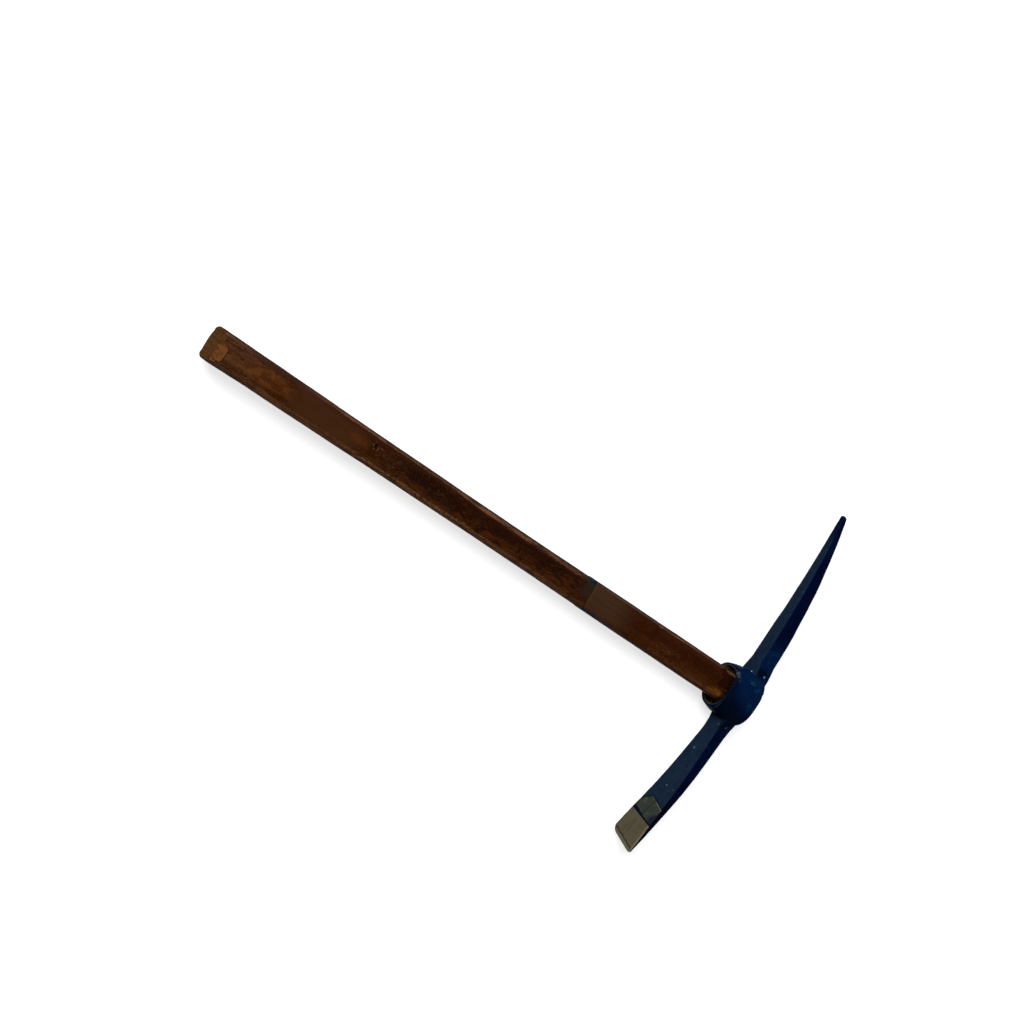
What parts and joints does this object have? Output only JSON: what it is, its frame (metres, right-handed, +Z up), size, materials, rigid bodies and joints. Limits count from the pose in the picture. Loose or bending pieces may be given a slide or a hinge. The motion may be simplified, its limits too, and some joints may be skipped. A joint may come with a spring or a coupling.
{
  "type": "pick axe",
  "caption": "Pick axe with a forged head, a tapering point and a narrow chisel on either side of a deep oval eye that drops onto a straight flared wooden handle.",
  "frame": {"origin": "on the floor that the tool lies on, under the middle of the whole tool", "axes": "+X along the handle from grip to head, +Y from chisel to point, +Z up, through the head's thickness"},
  "size_m": [0.9019, 0.4886, 0.0504],
  "materials": {
    "stained_wood": "dark brown stain, worn satin",
    "painted_steel": "dark navy paint over forged steel, chipped, with a bare ground edge",
    "worn_film": "faded and worn film, blue at its edge"
  },
  "bodies": {
    "handle": {"handle": "stained_wood", "sleeve": "worn_film"},
    "head": {"pick_head": "painted_steel"}
  },
  "joints": [
    {"name": "head_slide", "type": "slide", "parent": "handle", "child": "head", "axis": [-1, 0, 0], "range_m": [0, 0.84]}
  ]
}
